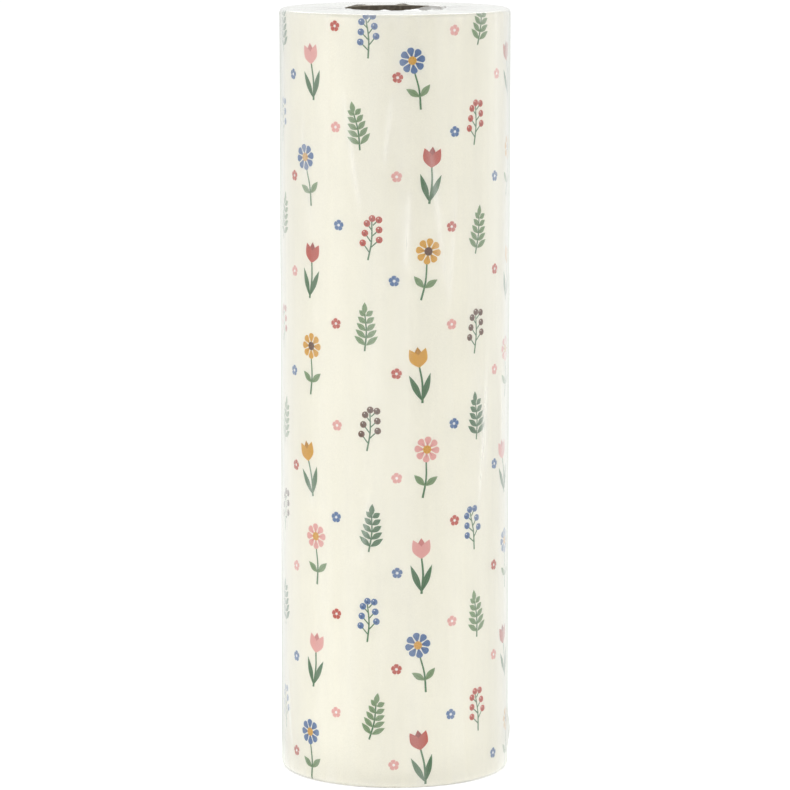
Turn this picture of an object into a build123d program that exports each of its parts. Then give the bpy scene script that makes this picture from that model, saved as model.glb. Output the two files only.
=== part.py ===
"""A counter roll of printed gift-wrap paper on a cardboard core, closed in clear shrink film.

Millimetres. +Z is the roll's axis, the origin is the centre of the lower end, and -Y is the front.
The paper's loose tail, its tape and the film's weld run up the back, on the +Y side.
"""
from build123d import *
import math
import os

# Driving dimensions
roll_height = 300.0          # over the film at both ends
roll_radius = 45.0           # over the film's side wall
bore_radius = 19.0           # a 38 mm (1 1/2 inch) core
ply_thickness = 1.0          # each of the core's three board plies
web_thickness = 0.1          # one sheet of the paper
film_thickness = 0.2         # thicker than real film, so that it is a solid wall
film_shoulder_radius = 1.8   # where the film turns from the side on to an end
film_hole_radius = 20.0      # the round hole that the shrunk film leaves at each end

start_tape_width = 12.0      # double-sided tape, which holds the paper's first edge to the core
start_tape_thickness = 0.15
start_tape_inset = 6.0       # from each end of the core

tail_tape_length = 40.0      # clear tape, across the loose tail
tail_tape_width = 19.0
tail_tape_thickness = 0.06
tail_tape_clearance = 0.04   # between the tape and the film over it

weld_width = 1.6             # the film's lengthwise weld, a low ridge
weld_height = 0.5

tail_angle = 90.0            # direction of the tail's edge and of the weld's side of the roll
weld_angle = 112.0
start_tape_angle = 60.0
last_turn_gap_angle = 0.5    # between the beginning of the last turn and its own tail

# Worked out
core_radius = bore_radius + 3 * ply_thickness
web_width = roll_height - 2 * film_thickness
web_bottom = film_thickness
film_inner_radius = roll_radius - film_thickness
tail_radius = film_inner_radius - tail_tape_thickness - tail_tape_clearance   # outside of the tail's edge
wound_radius = tail_radius - 2 * web_thickness                 # outside of the turn before the last
paper_corner_radius = film_shoulder_radius - film_thickness


def ring(inner, outer, height, bottom):
    """A plain tube, standing on the height bottom."""
    section = Circle(outer) - Circle(inner)
    return Pos(0, 0, bottom) * extrude(section, height)


def spiral_disc(radius):
    """A disc whose edge grows by one sheet in a full turn, as two half circles and a step."""
    half = web_thickness / 2
    first = CenterArc((0, 0), radius, 0, 180)
    second = CenterArc((half, 0), radius + half, 180, 180)
    step = Line((radius + web_thickness, 0), (radius, 0))
    return Rot(0, 0, tail_angle) * make_face([first, second, step])


def sector(start, sweep, reach):
    """A pie slice from the axis, which cuts an arc out of a ring."""
    arc = CenterArc((0, 0), reach, start, sweep)
    return make_face([Line((0, 0), arc @ 0), arc, Line(arc @ 1, (0, 0))])


def core_ply(index):
    """One ply of the core, counted from the bore outwards."""
    inner = bore_radius + index * ply_thickness
    return ring(inner, inner + ply_thickness, web_width, web_bottom)


def start_tape():
    """The strip between the core and the first turn of paper."""
    outer = core_radius + start_tape_thickness
    sweep = math.degrees(start_tape_width / core_radius)
    section = (Circle(outer) - Circle(core_radius)) & sector(start_tape_angle, sweep, 2 * outer)
    length = web_width - 2 * start_tape_inset
    return Pos(0, 0, web_bottom + start_tape_inset) * extrude(section, length)


def wound_turns():
    """Every turn of the paper but the last, closed up round the start tape."""
    section = spiral_disc(wound_radius) - Circle(core_radius)
    body = Pos(0, 0, web_bottom) * extrude(section, web_width)
    return soften_ends(body) - start_tape()


def soften_ends(body):
    """Rounds the paper's two outer rims, which the film pulls in."""
    envelope = Pos(0, 0, web_bottom + web_width / 2) * Cylinder(tail_radius, web_width)
    rims = envelope.edges().filter_by(GeomType.CIRCLE)
    return body & fillet(rims, paper_corner_radius)


def last_turn():
    """The outermost turn, which ends in the loose tail."""
    gap = sector(tail_angle, last_turn_gap_angle, wound_radius + web_thickness)
    section = spiral_disc(wound_radius + web_thickness) - spiral_disc(wound_radius) - gap
    body = Pos(0, 0, web_bottom) * extrude(section, web_width)
    return soften_ends(body)


def tail_tape():
    """A short piece of clear tape, half on the tail and half on the turn under it."""
    outer = tail_radius + tail_tape_thickness
    sweep = math.degrees(tail_tape_length / tail_radius)
    start = tail_angle - sweep / 2
    section = (Circle(outer) - Circle(tail_radius)) & sector(start, sweep, 2 * outer)
    return Pos(0, 0, (roll_height - tail_tape_width) / 2) * extrude(section, tail_tape_width)


def film_shell():
    """The film as a closed can, with rounded shoulders and a hole in the middle of each end."""
    middle = Pos(0, 0, roll_height / 2)
    outside = middle * Cylinder(roll_radius, roll_height)
    outside = fillet(outside.edges().filter_by(GeomType.CIRCLE), film_shoulder_radius)
    inside = middle * Cylinder(film_inner_radius, web_width)
    inside = fillet(inside.edges().filter_by(GeomType.CIRCLE), paper_corner_radius)
    holes = middle * Cylinder(film_hole_radius, 2 * roll_height)
    return outside - inside - holes


def film_weld():
    """The ridge where the film's two edges are welded, sunk a little into the side wall."""
    length = roll_height - 2 * film_shoulder_radius
    depth = weld_height + film_thickness / 2
    middle = film_inner_radius + (depth + film_thickness) / 2
    return Rot(0, 0, weld_angle) * Pos(middle, 0, roll_height / 2) * Box(depth, weld_width, length)


def shrink_film():
    return film_shell() + film_weld()


def main():
    pieces = {
        "core_inner_ply": core_ply(0),
        "core_middle_ply": core_ply(1),
        "core_outer_ply": core_ply(2),
        "core_start_tape": start_tape(),
        "paper_wound_turns": wound_turns(),
        "paper_last_turn": last_turn(),
        "tail_tape": tail_tape(),
        "shrink_film": shrink_film(),
    }
    os.makedirs("parts", exist_ok=True)
    for name, piece in pieces.items():
        export_step(piece, f"parts/{name}.step")


main()
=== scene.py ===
"""Looks of the wrapping paper roll: printed paper, wound paper ends, board core, tapes and shrink film.

Blender works in metres. The roll's sizes are millimetres here, as in the CAD part, and MM turns them into
metres. The studio's places and sizes are metres. +Z is the roll's axis and -Y its front. On the unrolled web,
u runs to the right round the roll, from 0 at the front to half a turn at the back on both sides, and z runs
up from the roll's lower end.
"""
import cmath
import math
import random

import bmesh
import bpy
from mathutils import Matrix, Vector, geometry, noise


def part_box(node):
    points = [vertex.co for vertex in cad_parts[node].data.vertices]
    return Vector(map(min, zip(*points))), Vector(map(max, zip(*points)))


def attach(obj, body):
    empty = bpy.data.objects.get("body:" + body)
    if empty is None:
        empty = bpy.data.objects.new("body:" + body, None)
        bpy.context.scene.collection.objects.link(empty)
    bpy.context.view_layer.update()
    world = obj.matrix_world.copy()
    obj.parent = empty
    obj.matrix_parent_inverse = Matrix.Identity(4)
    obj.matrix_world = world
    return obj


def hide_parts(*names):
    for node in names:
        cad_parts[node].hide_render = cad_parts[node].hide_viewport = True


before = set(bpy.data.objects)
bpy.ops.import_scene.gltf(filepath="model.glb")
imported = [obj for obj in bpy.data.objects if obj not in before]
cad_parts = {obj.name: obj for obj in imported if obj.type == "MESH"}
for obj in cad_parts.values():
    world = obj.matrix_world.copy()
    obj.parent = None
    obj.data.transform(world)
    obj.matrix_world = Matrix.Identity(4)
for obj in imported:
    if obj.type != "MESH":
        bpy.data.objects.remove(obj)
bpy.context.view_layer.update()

MM = 0.001
TURN = 2 * math.pi

# Sizes read from the frame, in millimetres
_, film_high = (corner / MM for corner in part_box("shrink_film"))
paper_low, paper_high = (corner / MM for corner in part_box("paper_wound_turns"))
_, core_high = (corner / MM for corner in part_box("core_outer_ply"))
bore_low, bore_high = (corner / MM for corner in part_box("core_inner_ply"))
tape_low, tape_high = (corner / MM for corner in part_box("tail_tape"))

FILM_RADIUS = film_high.x
ROLL_HEIGHT = film_high.z
WEB_BOTTOM = paper_low.z
WEB_TOP = paper_high.z
CORE_RADIUS = core_high.x
PLY = 1.0                                # one of the core's three board plies
BORE_RADIUS = CORE_RADIUS - 3 * PLY
SHEET = 0.1                              # one sheet of paper
LAST_TURN_RADIUS = paper_high.x + SHEET  # print side of the last turn, at the front
HALF_TURN = math.pi * LAST_TURN_RADIUS   # half the web's length round the roll

PRINT_SEED, RING_SEED, CREASE_SEED = 5, 11, 23


# ---------------------------------------------------------------- materials

def srgb(red, green, blue):
    """An 8-bit colour as Blender's linear RGBA."""
    linear = [((c / 255 + 0.055) / 1.055) ** 2.4 if c > 10 else c / 255 / 12.92 for c in (red, green, blue)]
    return (*linear, 1.0)


class Material:
    """A node material, with short calls for the nodes used here."""

    def __init__(self, name):
        self.material = bpy.data.materials.new(name)
        self.material.use_nodes = True
        self.tree = self.material.node_tree
        self.tree.nodes.clear()
        self.output = self.tree.nodes.new("ShaderNodeOutputMaterial")

    def node(self, kind, links=None, settings=None, **values):
        """A node with its settings, its constants (underscores stand for spaces) and its incoming links."""
        made = self.tree.nodes.new("ShaderNode" + kind)
        for name, value in (settings or {}).items():
            setattr(made, name, value)
        for name, value in values.items():
            made.inputs[name.replace("_", " ")].default_value = value
        for name, socket in (links or {}).items():
            self.tree.links.new(socket, made.inputs[name])
        return made

    def position(self, scale=(1, 1, 1)):
        """The object's own coordinates in millimetres, stretched by scale."""
        coordinates = self.node("TexCoord")
        mapping = self.node("Mapping", {"Vector": coordinates.outputs["Object"]})
        mapping.inputs["Scale"].default_value = [s / MM for s in scale]
        return mapping.outputs["Vector"]

    def noise(self, vector, scale, detail=4.0, roughness=0.55, distortion=0.0):
        return self.node("TexNoise", {"Vector": vector}, Scale=scale, Detail=detail, Roughness=roughness,
                         Distortion=distortion).outputs["Fac"]

    def remap(self, value, low, high, to_low, to_high):
        ends = {"From_Min": low, "From_Max": high, "To_Min": to_low, "To_Max": to_high}
        return self.node("MapRange", {"Value": value}, **ends).outputs["Result"]

    def math(self, operation, first, second):
        made = self.node("Math", settings={"operation": operation})
        for socket, value in zip(made.inputs, (first, second)):
            if isinstance(value, (int, float)):
                socket.default_value = value
            else:
                self.tree.links.new(value, socket)
        return made.outputs["Value"]

    def mix(self, factor, first, second, blend="MIX"):
        """Two colours mixed. The node's sockets 0, 6 and 7 are its factor and its two colours."""
        made = self.node("Mix", settings={"data_type": "RGBA", "blend_type": blend})
        for socket, value in ((made.inputs[0], factor), (made.inputs[6], first), (made.inputs[7], second)):
            if isinstance(value, (int, float, tuple)):
                socket.default_value = value
            else:
                self.tree.links.new(value, socket)
        return made.outputs[2]

    def bump(self, height, strength, distance, after=None):
        links = {"Height": height}
        if after is not None:
            links["Normal"] = after
        return self.node("Bump", links, Strength=strength, Distance=distance * MM).outputs["Normal"]

    def join(self, kind, first, second, **links):
        """Two shaders joined by a MixShader or an AddShader, which they enter by its last two inputs."""
        made = self.node(kind, links)
        for socket, shader in zip(list(made.inputs)[-2:], (first, second)):
            self.tree.links.new(shader.outputs[0], socket)
        return made

    def finish(self, shader):
        self.tree.links.new(shader.outputs[0], self.output.inputs["Surface"])
        return self.material


def printed_paper_material():
    """Smooth uncoated paper. The ink of each face is stored in the mesh, and the paper's fibres mottle it."""
    m = Material("printed_paper")
    ink = m.node("Attribute", settings={"attribute_name": "ink"}).outputs["Color"]
    place = m.position()
    fibre = m.remap(m.noise(place, 2.2, detail=6), 0.3, 0.7, 0.955, 1.03)
    cloud = m.remap(m.noise(place, 0.035, detail=2), 0.3, 0.7, 0.985, 1.012)
    tone = m.math("MULTIPLY", fibre, cloud)
    tint = m.node("CombineColor", {"Red": tone, "Green": tone, "Blue": tone}).outputs["Color"]
    colour = m.mix(1.0, ink, tint, "MULTIPLY")
    surface = m.bump(m.noise(place, 3.0, detail=5), 0.25, 0.02)
    return m.finish(m.node("BsdfPrincipled", {"Base Color": colour, "Normal": surface}, Roughness=0.62))


def paper_edge_material():
    """The cut edges of the wound web: fine rings, each turn a little lighter or darker."""
    m = Material("paper_edges")
    place = m.position()
    spread = m.node("VectorMath", {0: m.position((1, 1, 0))}, {"operation": "LENGTH"}).outputs["Value"]
    rings = m.node("CombineXYZ", {"X": spread}).outputs["Vector"]
    fine = m.noise(rings, 4.5, detail=3, roughness=0.7)
    broad = m.noise(rings, 0.6, detail=2)
    patch = m.noise(place, 0.12, detail=3)
    shade = m.math("ADD", m.math("MULTIPLY", fine, 0.6), m.math("MULTIPLY", broad, 0.4))
    colour = m.mix(m.remap(shade, 0.35, 0.65, 0.0, 1.0), srgb(226, 220, 206), srgb(251, 249, 242))
    colour = m.mix(m.remap(patch, 0.45, 0.75, 0.0, 0.25), colour, srgb(236, 228, 210))
    surface = m.bump(fine, 0.6, 0.08)
    return m.finish(m.node("BsdfPrincipled", {"Base Color": colour, "Normal": surface}, Roughness=0.85))


def board_material(name, light, dark):
    """Grey-brown core board, with long fibres and darker flecks."""
    m = Material(name)
    fibre = m.noise(m.position((1, 1, 0.22)), 1.6, detail=8, roughness=0.7, distortion=0.6)
    fleck = m.noise(m.position(), 3.4, detail=2, roughness=0.4)
    colour = m.mix(m.remap(fibre, 0.35, 0.65, 0.0, 1.0), dark, light)
    colour = m.mix(m.remap(fleck, 0.66, 0.74, 0.0, 0.5), colour, srgb(84, 66, 48))
    surface = m.bump(fibre, 0.5, 0.12)
    return m.finish(m.node("BsdfPrincipled", {"Base Color": colour, "Normal": surface}, Roughness=0.92))


def start_tape_material():
    """Double-sided tape: yellowish tissue with glue."""
    m = Material("double_sided_tape")
    tissue = m.noise(m.position((1, 1, 0.4)), 1.2, detail=5)
    colour = m.mix(m.remap(tissue, 0.35, 0.65, 0.0, 1.0), srgb(226, 216, 184), srgb(240, 234, 212))
    return m.finish(m.node("BsdfPrincipled", {"Base Color": colour}, Roughness=0.3))


def clear_tape_material():
    """Clear tape: shiny, and faintly milky where its glue has caught air."""
    m = Material("clear_tape")
    air = m.noise(m.position((1, 1, 0.3)), 0.9, detail=5)
    facing = m.node("LayerWeight", Blend=0.2).outputs["Fresnel"]
    cover = m.math("ADD", m.remap(air, 0.5, 0.75, 0.02, 0.1), facing)
    tape = m.node("BsdfPrincipled", {"Normal": m.bump(air, 0.3, 0.05)}, Base_Color=srgb(246, 246, 240),
                  Roughness=0.12)
    return m.finish(m.join("MixShader", m.node("BsdfTransparent"), tape, Fac=cover))


def shrink_film_material():
    """Clear shrink film: it reflects like a pane and scatters a little light where it is strained.

    Its glare rises faster than a plain Fresnel curve. Where the outer side of the upright wall turns away,
    its mirror colour is painted darker: painted shade in the reflection. Both are settings for looks.
    """
    m = Material("shrink_film")
    stretch = m.noise(m.position((1, 1, 0.04)), 0.1, detail=2)
    grain = m.noise(m.position((1, 1, 0.35)), 0.7, detail=4)
    surface = m.bump(stretch, 0.35, 0.5)
    surface = m.bump(grain, 0.12, 0.06, surface)
    pane = m.node("Fresnel", {"Normal": surface}, IOR=1.5).outputs["Fac"]
    glare = m.remap(pane, 0.04, 0.36, 0.03, 0.9)
    skin = m.node("NewGeometry")
    outside = m.math("SUBTRACT", 1.0, skin.outputs["Backfacing"])
    upward = m.node("SeparateXYZ", {"Vector": skin.outputs["Normal"]}).outputs["Z"]
    # painted shade: the mirror's colour darkens on the outer upright wall where it turns away at a slant
    wall = m.math("MULTIPLY", outside, m.remap(upward, 0.1, 0.6, 1.0, 0.0))
    painted_shade_slant = m.math("MULTIPLY", wall, m.remap(pane, 0.14, 0.5, 0.0, 1.0))
    mirror_colour_painted_shade = m.mix(painted_shade_slant, srgb(234, 235, 233), srgb(218, 220, 215))
    mirror = m.node("BsdfGlossy", {"Normal": surface, "Color": mirror_colour_painted_shade}, Roughness=0.22)
    reflecting = m.join("MixShader", m.node("BsdfTransparent"), mirror, Fac=glare)
    milk = m.node("BsdfDiffuse", Color=srgb(252, 252, 250))
    strain = m.node("Attribute", settings={"attribute_name": "strain"}).outputs["Fac"]
    haze = m.math("ADD", m.remap(stretch, 0.4, 0.62, 0.0, 0.08), m.math("MULTIPLY", strain, 0.36))
    return m.finish(m.join("MixShader", reflecting, milk, Fac=haze))


def floor_material():
    """White card. Close round the roll it glows softly: painted light, an emission that lifts the roll's
    contact shadow.
    """
    m = Material("studio_floor")
    m.material.cycles.emission_sampling = "NONE"      # sampled as a lamp, so wide a floor would add noise
    place = m.position()
    paper = m.noise(place, 0.02, detail=2)
    colour = m.mix(m.remap(paper, 0.3, 0.7, 0.0, 1.0), srgb(240, 240, 240), srgb(243, 243, 243))
    card = m.node("BsdfDiffuse", {"Color": colour})
    from_axis = m.node("VectorMath", {"Vector": place}, {"operation": "LENGTH"}).outputs["Value"]
    # painted light: the floor emits close round the roll and fades out by GLOW_END
    painted_glow = m.node("Emission", {"Strength": m.remap(from_axis, GLOW_FULL, GLOW_END, FLOOR_PAINTED_GLOW, 0.0)})
    return m.finish(m.join("AddShader", card, painted_glow))


# ---------------------------------------------------------------- the print: drawing on the flat web

INKS = {
    "paper": (248, 245, 232),
    "white": (253, 252, 248),
    "brick": (198, 92, 76),
    "blush": (233, 176, 170),
    "mustard": (223, 172, 66),
    "dusk": (94, 126, 172),
    "cocoa": (116, 82, 62),
    "sage": (136, 162, 120),
    "leaf": (80, 124, 82),
    "rust": (166, 70, 58),
    "rose": (213, 142, 138),
    "ochre": (196, 142, 46),
    "navy": (68, 94, 140),
    "bark": (86, 58, 44),
    "fern": (106, 136, 92),
    "moss": (56, 98, 62),
}

# The deeper ink that each one is shaded with
DEEPER = {"brick": "rust", "blush": "rose", "mustard": "ochre", "dusk": "navy", "cocoa": "bark",
          "sage": "fern", "leaf": "moss"}


def smooth(points, steps=4):
    """Points along a Catmull-Rom curve through the given ones."""
    if len(points) < 3:
        return list(points)
    held = [2 * points[0] - points[1], *points, 2 * points[-1] - points[-2]]
    curve = []
    for a, b, c, d in zip(held, held[1:], held[2:], held[3:]):
        for step in range(steps):
            t = step / steps
            curve.append(0.5 * (2 * b + (c - a) * t + (2 * a - 5 * b + 4 * c - d) * t**2
                                + (3 * b - a - 3 * c + d) * t**3))
    return curve + [points[-1]]


def toward(degrees, reach=1.0):
    """A step of the given length: 0 is to the right, 90 is up."""
    return reach * cmath.exp(1j * math.radians(degrees))


class Pen:
    """Draws one motif in its own plane of complex numbers, where 1j is up, and puts the shapes on the web."""

    def __init__(self, shapes, place, turn, size):
        self.shapes = shapes
        self.place = place
        self.spin = toward(turn, size)

    def shape(self, ink, points):
        self.shapes.append((ink, [self.place + self.spin * p for p in points]))

    def stroke(self, ink, points, width, end_width):
        """A line that tapers from width to end_width."""
        line = smooth(points)
        left, right = [], []
        for i, p in enumerate(line):
            along = line[min(i + 1, len(line) - 1)] - line[max(i - 1, 0)]
            side = 1j * along / abs(along) * (width + (end_width - width) * i / (len(line) - 1)) / 2
            left.append(p + side)
            right.append(p - side)
        self.shape(ink, right + left[::-1])

    def leaf(self, ink, base, tip, width):
        """A pointed oval from base to tip."""
        axis = tip - base
        side = 1j * axis / abs(axis) * width / 2
        rows = ((0.22, 0.62), (0.48, 1.0), (0.75, 0.66))
        right = [base + axis * t - side * w for t, w in rows]
        left = [base + axis * t + side * w for t, w in reversed(rows)]
        self.shape(ink, smooth([base, *right, tip], 3) + smooth([tip, *left, base], 3)[1:-1])

    def veined_leaf(self, ink, base, tip, width):
        """A leaf with a midrib in the deeper ink."""
        self.leaf(ink, base, tip, width)
        axis = tip - base
        self.stroke(DEEPER[ink], [base + axis * 0.08, base + axis * 0.8], 0.2, 0.08)

    def petal(self, ink, base, tip, width):
        """A petal with a broad round end."""
        axis = tip - base
        side = 1j * axis / abs(axis) * width / 2
        rows = ((0.35, 0.55), (0.72, 1.0), (0.95, 0.62))
        right = [base + axis * t - side * w for t, w in rows]
        left = [base + axis * t + side * w for t, w in reversed(rows)]
        self.shape(ink, smooth([base, *right, tip, *left, base], 3)[:-1])

    def dot(self, ink, centre, radius, points=10):
        self.shape(ink, [centre + toward(360 * k / points, radius) for k in range(points)])


STEM = 11.0                               # a motif's stem, from its foot to its head


def stem(pen, width=0.6):
    pen.stroke("leaf", [0, 0.5 + STEM / 2 * 1j, STEM * 1j], width, width * 0.7)


def daisy(pen, ink):
    """Eight round petals about a disc, over a pair of leaves."""
    stem(pen)
    for lean in (40, 140):
        pen.veined_leaf("sage", 0.4 + 3.5j, 0.4 + 3.5j + toward(lean, 4.6), 1.9)
    head = (STEM + 3.0) * 1j
    for k in range(8):
        pen.petal(ink, head + toward(45 * k, 0.8), head + toward(45 * k, 3.7), 2.0)
        pen.stroke(DEEPER[ink], [head + toward(45 * k, 1.2), head + toward(45 * k, 2.5)], 0.24, 0.08)
    heart = "mustard" if ink != "mustard" else "cocoa"
    pen.dot(heart, head, 1.25)
    for k in range(6):
        pen.dot(DEEPER[heart], head + toward(60 * k, 0.75), 0.14, points=6)


def tulip(pen, ink):
    """A cup of three pointed petals between two long leaves."""
    stem(pen, 0.7)
    for lean in (68, 112):
        pen.veined_leaf("leaf", 0.5j, 0.5j + toward(lean, 8.5), 1.8)
    cup = (STEM - 0.8) * 1j
    pen.leaf(DEEPER[ink], cup, cup + toward(90, 6.0), 2.9)
    for lean in (66, 114):
        pen.leaf(ink, cup, cup + toward(lean, 6.0), 2.9)


def leaf_sprig(pen, ink):
    """A stem with pairs of leaves that get shorter towards its tip."""
    stem(pen, 0.5)
    pairs = 5
    for k in range(pairs):
        foot = 0.4 + (1.6 + 2.1 * k) * 1j
        for lean in (38, 142):
            pen.veined_leaf(ink, foot, foot + toward(lean, 4.4 - 0.45 * k), 1.6)
    pen.leaf(ink, (STEM - 0.6) * 1j, (STEM + 3.0) * 1j, 1.6)


def berry(pen, ink, centre):
    """A round berry with a deeper eye and a small highlight."""
    pen.dot(ink, centre, 1.0)
    pen.dot(DEEPER[ink], centre - 0.3j, 0.3, points=7)
    pen.dot("white", centre + toward(125, 0.5), 0.17, points=6)


def berry_sprig(pen, ink):
    """Round berries on short stalks, on alternate sides of a stem."""
    stem(pen, 0.5)
    berries = 6
    for k in range(berries):
        foot = 0.4 + (2.0 + 1.6 * k) * 1j
        tip = foot + toward(48 if k % 2 else 132, 3.6 - 0.25 * k)
        pen.stroke("leaf", [foot, tip], 0.35, 0.3)
        berry(pen, ink, tip)
    berry(pen, ink, (STEM + 0.9) * 1j)


def floret(pen, ink):
    """Five petals with no stem, which fills the space between the taller motifs."""
    for k in range(5):
        pen.petal(ink, 0, toward(90 + 72 * k, 1.9), 1.7)
    pen.dot("white", 0, 0.55, points=7)


# A plain half-drop lattice: each column of motifs sits half a row above the one before it. A seeded
# shift and turn loosen it, and florets fill the gaps between the columns.
COLUMNS = 12
ROW_PITCH = 38.0
MOTIF_SIZE = 1.35
SHIFT_ACROSS, SHIFT_UP, MOST_TURN = 2.0, 3.0, 11.0
FLORET_RISE = 0.75                        # in rows, half way between the heads on either side
FLORET_SIZE, FLORET_LOOSE = 1.1, 0.5
MOTIFS = (daisy, leaf_sprig, tulip, berry_sprig)
MOTIF_INKS = {
    daisy: ("blush", "dusk", "mustard"),
    leaf_sprig: ("sage", "leaf", "sage"),
    tulip: ("brick", "mustard", "blush"),
    berry_sprig: ("dusk", "brick", "cocoa"),
    floret: ("dusk", "blush", "brick"),
}


def print_shapes():
    """Every ink shape on the outer turn, in printing order."""
    rng = random.Random(PRINT_SEED)
    shapes = []
    pitch = 2 * HALF_TURN / COLUMNS

    def place(draw, column, row, u, z, size, loose=1.0):
        shift = complex(rng.uniform(-SHIFT_ACROSS, SHIFT_ACROSS), rng.uniform(-SHIFT_UP, SHIFT_UP))
        inks = MOTIF_INKS[draw]
        pen = Pen(shapes, complex(u, z) + loose * shift, rng.uniform(-MOST_TURN, MOST_TURN), size)
        draw(pen, inks[(column + row) % len(inks)])

    for column in range(COLUMNS):
        for row in range(-1, math.ceil(WEB_TOP / ROW_PITCH) + 1):
            u = (column + 0.5 - COLUMNS / 2) * pitch
            z = (row + 0.5 * (column % 2)) * ROW_PITCH
            place(MOTIFS[(column + 2 * row) % len(MOTIFS)], column, row, u, z, MOTIF_SIZE)
            if column < COLUMNS - 1:
                rise = FLORET_RISE * ROW_PITCH
                place(floret, column, row, u + pitch / 2, z + rise, FLORET_SIZE, FLORET_LOOSE)
    return shapes


# ---------------------------------------------------------------- meshes

def place_on_roll(u, z, radius):
    """A point of the web wrapped on the roll, in metres."""
    angle = u / LAST_TURN_RADIUS
    return Vector((radius * math.sin(angle), -radius * math.cos(angle), z)) * MM


def new_object(name, vertices, faces):
    """A smooth mesh object in the scene."""
    mesh = bpy.data.meshes.new(name)
    mesh.from_pydata(vertices, [], faces)
    mesh.validate()
    mesh.polygons.foreach_set("use_smooth", [True] * len(mesh.polygons))
    obj = bpy.data.objects.new(name, mesh)
    bpy.context.scene.collection.objects.link(obj)
    return obj


def settle(obj, material, slot, *nodes):
    """Gives a new piece its material, rides it on the roll and puts it in place of its CAD nodes."""
    obj.data.materials.clear()
    obj.data.materials.append(material)
    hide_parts(*nodes)
    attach(obj, "root")


def noise_round(angle, scale, height):
    """Noise on a circle round the axis, so that it meets itself at the back. A larger scale is finer."""
    return noise.noise(Vector((math.cos(angle) * scale, math.sin(angle) * scale, height)))


RIM_REACH, RIM_DEPTH = 1.8, 0.8           # the paper's rounded rims
PRINT_CLEARANCE = 0.03                    # how far the print is set in from the last turn's radius


def rim_inset(z):
    """How far the paper's outer turns are pulled in by the film, close to either end."""
    near = max(0.0, 1 - min(z - WEB_BOTTOM, WEB_TOP - z) / RIM_REACH)
    return RIM_DEPTH * (1 - math.sqrt(max(0.0, 1 - near * near)))


def sheet_radius(u, z):
    """The outer turn's radius: a spiral that is one sheet wider at the tail than where the turn begins."""
    spiral = SHEET * (u / HALF_TURN) / 2
    slack = 0.04 * noise.noise(Vector((u / 22, z / 90, 3.0)))
    curl = 0.14 * max(0.0, 1 - (HALF_TURN - u) / 3.0) ** 2
    return LAST_TURN_RADIUS - PRINT_CLEARANCE + spiral + slack + curl - rim_inset(z)


def ink_outlines(first_point):
    """The print's shapes, counter-clockwise: their points, the faces that join them and their colours."""
    points, faces, colours = [], [], []
    for ink, outline in print_shapes():
        area = sum((a.conjugate() * b).imag for a, b in zip(outline, outline[1:] + outline[:1]))
        outline = outline[::-1] if area < 0 else outline
        start = first_point + len(points)
        faces.append(list(range(start, start + len(outline))))
        points += [Vector((p.real, p.imag)) for p in outline]
        colours.append(srgb(*INKS[ink]))
    return points, faces, colours


INSIDE_ONLY, SNAP = 1, 1e-3               # how the web is cut into triangles: output type, points that merge


def printed_sheet():
    """The last turn as one mesh, cut along the outline of every ink shape."""
    low, high = WEB_BOTTOM + 0.1, WEB_TOP - 0.1
    points = [Vector(c) for c in ((-HALF_TURN, low), (HALF_TURN, low), (HALF_TURN, high), (-HALF_TURN, high))]
    outlines, faces, colours = ink_outlines(len(points))
    points += outlines
    edges = []
    columns, rows, rim_rows = 180, 48, (0.5, 1.0, 1.5, 2.0, 3.0)
    for k in range(1, columns):
        u = HALF_TURN * (2 * k / columns - 1)
        edges.append((len(points), len(points) + 1))
        points += [Vector((u, low)), Vector((u, high))]
    heights = [low + (high - low) * k / rows for k in range(1, rows)]
    heights += [low + z for z in rim_rows] + [high - z for z in rim_rows]
    for z in heights:
        edges.append((len(points), len(points) + 1))
        points += [Vector((-HALF_TURN, z)), Vector((HALF_TURN, z))]
    flat, _, triangles, _, _, sources = geometry.delaunay_2d_cdt(
        points, edges, [[0, 1, 2, 3]] + faces, INSIDE_ONLY, SNAP)
    colours = [srgb(*INKS["paper"])] + colours
    kept = [(list(t), colours[max(s)]) for t, s in zip(triangles, sources) if 0 in s]
    used = sorted({v for t, _ in kept for v in t})
    renumbered = {old: new for new, old in enumerate(used)}
    kept = [([renumbered[v] for v in t], colour) for t, colour in kept]
    vertices = [place_on_roll(flat[v].x, flat[v].y, sheet_radius(flat[v].x, flat[v].y)) for v in used]
    kept += sheet_edges(vertices, [t for t, _ in kept])
    sheet = new_object("printed_last_turn", vertices, [t for t, _ in kept])
    ink = sheet.data.attributes.new("ink", "FLOAT_COLOR", "CORNER")
    ink.data.foreach_set("color", [c for face, colour in kept for _ in face for c in colour])
    return sheet


def sheet_edges(vertices, triangles):
    """The sheet's cut edges, one sheet deep, as faces with their colour. It adds their inner vertices."""
    sides = {}
    for t in triangles:
        for a, b in zip(t, t[1:] + t[:1]):
            sides[frozenset((a, b))] = None if frozenset((a, b)) in sides else (a, b)
    inner, faces = {}, []
    for side in filter(None, sides.values()):
        for v in side:
            if v not in inner:
                outward = Vector((vertices[v].x, vertices[v].y, 0)).normalized()
                inner[v] = len(vertices)
                vertices.append(vertices[v] - outward * SHEET * MM)
        a, b = side
        faces.append(([b, a, inner[a], inner[b]], srgb(*INKS["white"])))
    return faces


def lathe(name, profile, segments, wobble):
    """A closed surface of revolution about the roll's axis. wobble(angle, radius, height) moves a point."""
    vertices, faces = [], []
    count = len(profile)
    for k in range(segments):
        angle = TURN * k / segments
        for radius, height in profile:
            r, z = wobble(angle, radius, height)
            vertices.append(Vector((r * math.cos(angle), r * math.sin(angle), z)) * MM)
    for k in range(segments):
        here, there = k * count, (k + 1) % segments * count
        for i in range(count):
            j = (i + 1) % count
            faces.append((here + i, there + i, there + j, here + j))
    return new_object(name, vertices, faces)


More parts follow.
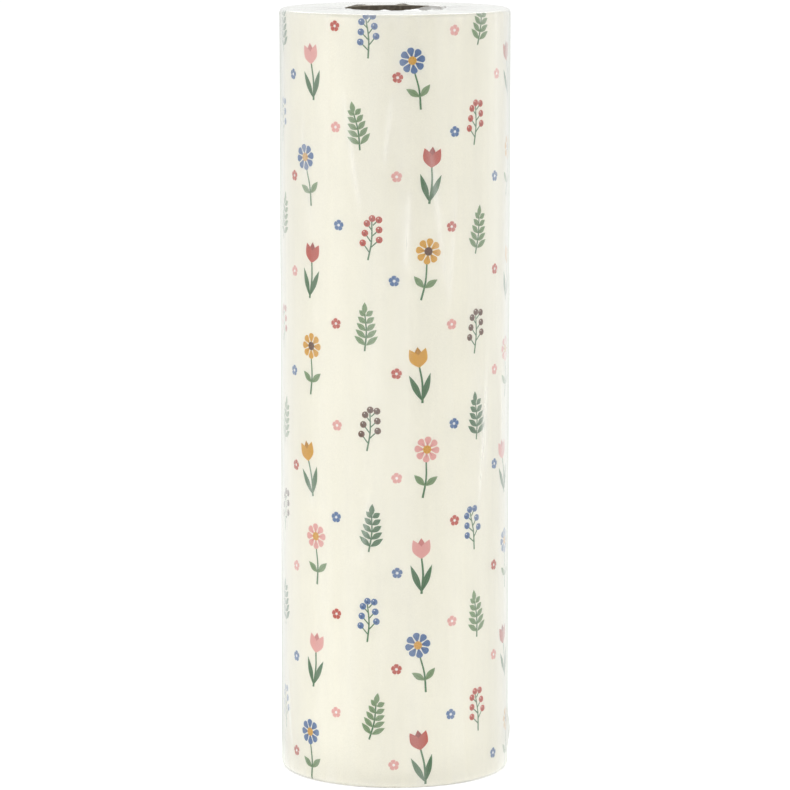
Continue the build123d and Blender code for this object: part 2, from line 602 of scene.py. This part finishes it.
def wound_turns():
    """The turns under the last one. Each end shows them as rings that stand a little in or out."""
    rng = random.Random(RING_SEED)
    rings = 56
    outer = LAST_TURN_RADIUS - 2.6 * SHEET                # clear of the last turn's inside
    radii = [CORE_RADIUS + 0.02 + (outer - 1.0 - CORE_RADIUS) * k / rings for k in range(rings + 1)]
    low_ring, high_ring = (
        [rng.uniform(0, 0.07) + 0.1 * (rng.random() < 0.12) for _ in radii] for _ in range(2))
    rim = [3.0, 2.0, 1.2, 0.6, 0.25, 0.08]
    profile = [(r, WEB_TOP - d) for r, d in zip(radii, high_ring)]
    profile += [(outer - rim_inset(WEB_TOP - d), WEB_TOP - d) for d in reversed(rim)]
    profile += [(outer - rim_inset(WEB_BOTTOM + d), WEB_BOTTOM + d) for d in rim]
    profile += [(r, WEB_BOTTOM + d) for r, d in reversed(list(zip(radii, low_ring)))]

    def settle_ends(angle, radius, height):
        ripple = Vector((math.cos(angle) * radius / 9, math.sin(angle) * radius / 9, height))
        sway = 0.05 * noise.noise(ripple)
        return radius, height + (abs(sway) if height < ROLL_HEIGHT / 2 else -abs(sway))

    return lathe("wound_paper", profile[::-1], 180, settle_ends)


def core_inner_ply():
    """The ply round the bore: a strip wound in a helix, with a fine open seam where its edges meet."""
    pitch, seam_half, seam_depth, columns, rows = 96.0, 0.22, 0.35, 96, 12
    mesh = bmesh.new()
    offsets = [pitch * k / rows for k in range(rows)]
    offsets = sorted(offsets + [seam_half, seam_half + 0.15, pitch - seam_half, pitch - seam_half - 0.15])
    turns = range(-1, math.ceil(ROLL_HEIGHT / pitch) + 1)
    grid = {}
    for j in range(columns + 1):
        angle = TURN * j / columns
        for n in turns:
            for i, offset in enumerate(offsets):
                deep = offset < seam_half + 0.01 or offset > pitch - seam_half - 0.01
                radius = BORE_RADIUS + (seam_depth if deep else 0.0)
                height = n * pitch + offset + pitch * j / columns
                grid[j, n * len(offsets) + i] = mesh.verts.new(
                    Vector((radius * math.cos(angle), radius * math.sin(angle), height)) * MM)
    lines = sorted({i for _, i in grid})
    for j in range(columns):
        for a, b in zip(lines, lines[1:]):
            mesh.faces.new((grid[j, a], grid[j, b], grid[j + 1, b], grid[j + 1, a]))
    bmesh.ops.remove_doubles(mesh, verts=mesh.verts, dist=0.01 * MM)
    for height, up in ((bore_low.z + 0.05, -1), (bore_high.z - 0.05, 1)):
        everything = mesh.verts[:] + mesh.edges[:] + mesh.faces[:]
        bmesh.ops.bisect_plane(mesh, geom=everything, plane_co=(0, 0, height * MM), plane_no=(0, 0, up),
                               clear_outer=True)
        rim = [e for e in mesh.edges
               if e.is_boundary and all(abs(v.co.z / MM - height) < 0.01 for v in e.verts)]
        wall = bmesh.ops.extrude_edge_only(mesh, edges=rim)["geom"]
        for v in (g for g in wall if isinstance(g, bmesh.types.BMVert)):
            flat = Vector((v.co.x, v.co.y, 0)).normalized() * (BORE_RADIUS + PLY) * MM
            v.co.x, v.co.y = flat.x, flat.y
    bmesh.ops.recalc_face_normals(mesh, faces=mesh.faces)
    data = bpy.data.meshes.new("core_bore_ply")
    mesh.to_mesh(data)
    mesh.free()
    obj = bpy.data.objects.new("core_bore_ply", data)
    bpy.context.scene.collection.objects.link(obj)
    data.polygons.foreach_set("use_smooth", [True] * len(data.polygons))
    data.set_sharp_from_angle(angle=math.radians(30))
    return obj


TAPE_LIFT = 0.16                          # the tape's outside over the last turn's radius
TOOTH = 0.55                              # the depth of the teeth at its cut ends


def tail_tape():
    """A strip of clear tape over the tail's edge. Its two ends are cut with fine teeth."""
    half_length, half_width = (tape_high.x - tape_low.x) / 2, (tape_high.z - tape_low.z) / 2
    middle = (tape_high.z + tape_low.z) / 2
    columns, teeth = 60, 14
    rows = 2 * teeth
    vertices = []
    for i in range(columns + 1):
        for j in range(rows + 1):
            tooth = TOOTH * (j % 2) if i in (0, columns) else 0.0
            across = (2 * i / columns - 1) * (half_length - tooth)
            u = (HALF_TURN + across + HALF_TURN) % (2 * HALF_TURN) - HALF_TURN
            z = middle + (2 * j / rows - 1) * half_width
            drop = 0.0 if across < 0 else SHEET * min(1.0, across / 0.6)
            vertices.append(place_on_roll(u, z, LAST_TURN_RADIUS + TAPE_LIFT - drop))
    step = rows + 1
    faces = [(i * step + j, (i + 1) * step + j, (i + 1) * step + j + 1, i * step + j + 1)
             for i in range(columns) for j in range(rows)]
    return new_object("tail_tape_strip", vertices, faces)


# ---------------------------------------------------------------- shrink film

WELD_U = HALF_TURN - math.radians(22) * LAST_TURN_RADIUS
SHOULDER = 1.8                            # radius of the turn from the side on to an end
HOLE_RADIUS = 20.0
PRESSED_GAP = 0.15                        # room under the paper for the bottom end's folds
FILM_CLEARANCE = 0.05                     # over the paper's top end
FILM_INSET = 0.12                         # leaves the relief some room inside the CAD radius
HOLE_OVERHANG = 0.3                       # how far the film reaches in over the hole's edge
CREASE_COUNT = 30

# The film stands up at the mouth's front right, and bulges low on the roll's right
LIP_RISE, LIP_ANGLE, LIP_REACH = 1.3, 0.85, 0.45
BULGE_U, BULGE_Z, BULGE_REACH, BULGE_HEIGHT = 70, 14, 5, 0.9


def scattered_creases():
    """Faint creases, mostly upright, spread round the side: from (u, z), to (u, z), height, width."""
    rng = random.Random(CREASE_SEED)
    lines = []
    for k in range(CREASE_COUNT):
        u = HALF_TURN * (2 * (k + rng.random()) / CREASE_COUNT - 1)
        z = rng.uniform(15, ROLL_HEIGHT - 15)
        length = rng.uniform(18, 75)
        lean = rng.uniform(-0.16, 0.16)
        height, width = rng.uniform(0.16, 0.34), rng.uniform(0.9, 1.8)
        lines.append((u, z, u + lean * length, max(8.0, z - length), height, width))
    return lines


CREASES = scattered_creases()


def crease(u, z, u0, z0, u1, z1, height, width):
    """A ridge along a line, sharp on top, that fades out towards both its ends."""
    along_u, along_z = u1 - u0, z1 - z0
    length = math.hypot(along_u, along_z)
    t = ((u - u0) * along_u + (z - z0) * along_z) / length**2
    if not -0.2 < t < 1.2:
        return 0.0
    away = abs((u - u0) * along_z - (z - z0) * along_u) / length
    if away > 5 * width:
        return 0.0
    fade = max(0.0, 1 - abs(2 * t - 1) ** 3) if 0 < t < 1 else 0.0
    return height * fade * math.exp(-away / width)


def pleats(u, z):
    """Gathers that run out from each end over the shoulder, 0 to 1."""
    angle = u / LAST_TURN_RADIUS
    near = min(z, ROLL_HEIGHT - z)
    fold = noise_round(angle, 5.2, 40 if z < ROLL_HEIGHT / 2 else 8)
    reach = 5 + 16 * abs(noise_round(angle, 2.4, 17))
    return max(0.0, 1 - abs(fold) * 4.5) * max(0.0, 1 - near / reach) ** 1.5


def film_relief(u, z):
    """How far the film stands off its plain radius, in millimetres, and how strained it is, 0 to 1."""
    angle = u / LAST_TURN_RADIUS
    streak = noise_round(angle, 4.2, z / 160)
    ripple = noise_round(angle, 11, z / 60 + 9)
    slack = noise_round(angle, 1.8, z / 45 + 5)
    ridges = sum(crease(u, z, *line) for line in CREASES)
    gathers = pleats(u, z)
    bulge = BULGE_HEIGHT * math.exp(-((u - BULGE_U) / BULGE_REACH) ** 2 - ((z - BULGE_Z) / BULGE_REACH) ** 2)
    weld = max(0.0, 1 - abs(u - WELD_U - 0.4 * noise.noise(Vector((z / 25, 0, 2)))) / 0.9)
    ruffle = 0.7 + 0.3 * math.sin(z * 1.9 + 3 * noise.noise(Vector((z / 9, 1, 1))))
    height = 0.16 * streak + 0.04 * ripple + 0.12 * slack + ridges + 0.14 * gathers + bulge
    height += 0.55 * weld * ruffle
    strain = min(1.0, 2.0 * ridges + 0.35 * gathers + 0.9 * weld + 0.5 * bulge)
    return height, strain


def shrink_film():
    """The film as one skin: its side, two shoulders and gathered ends, with a ragged edge at each hole."""
    columns, rows, shoulder_steps, end_rings = 320, 210, 5, 24
    plain = FILM_RADIUS - FILM_INSET
    vertices, haze = [], []

    def end_rows(u, bottom):
        """One column of an end, from the hole out to the shoulder: radius, height and strain."""
        angle = u / LAST_TURN_RADIUS
        z_side = SHOULDER if bottom else ROLL_HEIGHT - SHOULDER
        relief, strain = film_relief(u, z_side)
        rows_here = []
        for k in range(end_rings + 1):
            t = k / end_rings
            radius = HOLE_RADIUS - HOLE_OVERHANG + (plain - SHOULDER - HOLE_RADIUS + HOLE_OVERHANG) * t
            twist = angle + 0.35 * (1 - t) ** 2
            fold = 1 - min(1.0, abs(noise_round(twist, 6, 3.0 if bottom else 71.0)) * 3.4)
            coarse = noise_round(twist, 2.1, t * 1.6)
            lift = 0.3 * fold * (1 - t) * min(1.0, 0.25 + 2 * t) + 0.7 * t * (1.2 - t) * abs(coarse)
            if k == 0:
                radius += 1.1 * noise_round(angle, 5, 21)
                ragged = noise_round(angle, 3.1, 52)
                lip = math.exp(-((angle - LIP_ANGLE) / LIP_REACH) ** 2)
                lift += 0.12 + 1.1 * max(0.0, ragged) + LIP_RISE * lip
            elif k == 1:
                lift += 0.18
            # The bottom end is pressed flat between floor and paper, and the top one stands off the paper
            lift = max(0.0, lift)
            height = PRESSED_GAP * min(1.0, lift) if bottom else WEB_TOP + FILM_CLEARANCE + lift
            strained = 0.05 + 0.3 * fold * (1 - 0.6 * t) + (0.4 if k < 2 else 0)
            rows_here.append((radius, height, min(1.0, strained)))
        for k in range(1, shoulder_steps):
            bend = math.pi / 2 * k / shoulder_steps
            radius = plain - SHOULDER + (SHOULDER + relief) * math.sin(bend)
            drop = SHOULDER * (1 - math.cos(bend))
            height = drop + 0.02 if bottom else ROLL_HEIGHT - drop
            rows_here.append((radius, height, min(1.0, 0.05 + strain)))
        return rows_here

    for i in range(columns):
        u = HALF_TURN * (2 * i / columns - 1)
        column = end_rows(u, bottom=True)
        for k in range(rows + 1):
            z = SHOULDER + (ROLL_HEIGHT - 2 * SHOULDER) * k / rows
            relief, strain = film_relief(u, z)
            column.append((plain + relief, z, strain))
        column += end_rows(u, bottom=False)[::-1]
        for radius, height, strain in column:
            vertices.append(place_on_roll(u, height, radius))
            haze.append(strain)
    count = len(vertices) // columns
    faces = []
    for i in range(columns):
        here, there = i * count, (i + 1) % columns * count
        faces += [(here + j, there + j, there + j + 1, here + j + 1) for j in range(count - 1)]
    film = new_object("shrink_film_skin", vertices, faces)
    attribute = film.data.attributes.new("strain", "FLOAT", "POINT")
    attribute.data.foreach_set("value", haze)
    return film


def dress(node, material):
    """Gives a CAD node that stays its material."""
    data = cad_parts[node].data
    data.materials.clear()
    data.materials.append(material)


settle(printed_sheet(), printed_paper_material(), "printed_paper", "paper_last_turn")
settle(wound_turns(), paper_edge_material(), "paper_edges", "paper_wound_turns")
# painted shade: the bore's ply gets darker board tones than the outer plies, for the shade inside the bore
settle(core_inner_ply(), board_material("core_board_inside_painted_shade", srgb(118, 109, 95), srgb(72, 65, 55)),
       "core_board", "core_inner_ply")
settle(tail_tape(), clear_tape_material(), "clear_tape", "tail_tape")
settle(shrink_film(), shrink_film_material(), "shrink_film", "shrink_film")
core_board = board_material("core_board", srgb(140, 128, 110), srgb(98, 88, 74))
for ply in ("core_middle_ply", "core_outer_ply"):
    dress(ply, core_board)
dress("core_start_tape", start_tape_material())


# ---------------------------------------------------------------- stage

FLOOR_SPAN = 40
# strength of the floor's painted glow round the roll, which lifts its contact shadow
FLOOR_PAINTED_GLOW = 0.33
GLOW_FULL, GLOW_END = 49.0, 72.0          # fades from full strength to none, in mm from the axis


def stage():
    """The floor. Its size is real, because its material measures the way from the roll's axis."""
    bpy.ops.mesh.primitive_plane_add(size=FLOOR_SPAN, location=(0, 0, 0))
    floor = bpy.context.object
    floor.name = "studio_floor"
    floor.data.materials.append(floor_material())


# A white tent that glows evenly all round, with soft boxes in it. The front is a little brighter on the left,
# and the table in front of the roll glows too, which the film mirrors on the roll's lower half.
TENT_GLOW = 1.0
SUN_STRENGTH, SUN_SPREAD = 0.6, 30        # straight down, with soft shadows
AT_ROLL = (0, 0, 0.12)
SOFT_BOXES = (
    # name, place, target, width, height, power
    ("left_key", (-2.1, -1.4, 0.7), AT_ROLL, 1.4, 1.2, 9.8),
    ("right_key", (2.1, -1.4, 0.7), AT_ROLL, 1.4, 1.2, 7.3),
    ("back_key", (0, 2.4, 2.0), AT_ROLL, 2.4, 1.0, 14.0),
    ("right_panel", (1.5, 0.55, 0.35), AT_ROLL, 0.8, 1.2, 2.0),
    ("low_strip", (-0.12, -0.75, 0.07), (0, 0, 0.06), 0.9, 0.12, 0.52),
    ("table_glow", (0, -0.42, 0.004), (0, -0.42, 1.0), 0.5, 0.74, 0.4),
)


def soft_box(name, place, target, width, height, power):
    """A rectangular lamp that faces its target and isn't seen itself."""
    light = bpy.data.lights.new(name, "AREA")
    light.shape = "RECTANGLE"
    light.size, light.size_y = width, height
    light.energy = power
    obj = bpy.data.objects.new(name, light)
    obj.location = place
    obj.rotation_euler = (Vector(target) - Vector(place)).to_track_quat("-Z", "Y").to_euler()
    obj.visible_camera = False
    bpy.context.scene.collection.objects.link(obj)


def studio():
    """The tent, its soft boxes and an even light from overhead."""
    world = bpy.data.worlds.new("studio")
    bpy.context.scene.world = world
    world.use_nodes = True
    tent = world.node_tree.nodes["Background"]
    tent.inputs["Color"].default_value = (1, 1, 1, 1)
    tent.inputs["Strength"].default_value = TENT_GLOW
    for box in SOFT_BOXES:
        soft_box(*box)
    sun = bpy.data.lights.new("overhead", "SUN")
    sun.energy = SUN_STRENGTH
    sun.angle = math.radians(SUN_SPREAD)
    bpy.context.scene.collection.objects.link(bpy.data.objects.new("overhead", sun))


CAMERA_PLACE = (0.0, -1.667, 0.395)
CAMERA_TILT = 8.43                        # degrees down
LENS = 195.1                              # millimetres, on a 36 mm wide sensor


def camera():
    data = bpy.data.cameras.new("camera")
    data.lens = LENS
    data.sensor_width = 36.0
    data.clip_start, data.clip_end = 0.05, 60.0
    obj = bpy.data.objects.new("camera", data)
    obj.location = CAMERA_PLACE
    obj.rotation_euler = (math.radians(90 - CAMERA_TILT), 0, 0)
    bpy.context.scene.collection.objects.link(obj)
    bpy.context.scene.camera = obj
    bpy.context.scene.view_settings.view_transform = "Standard"


stage()
studio()
camera()
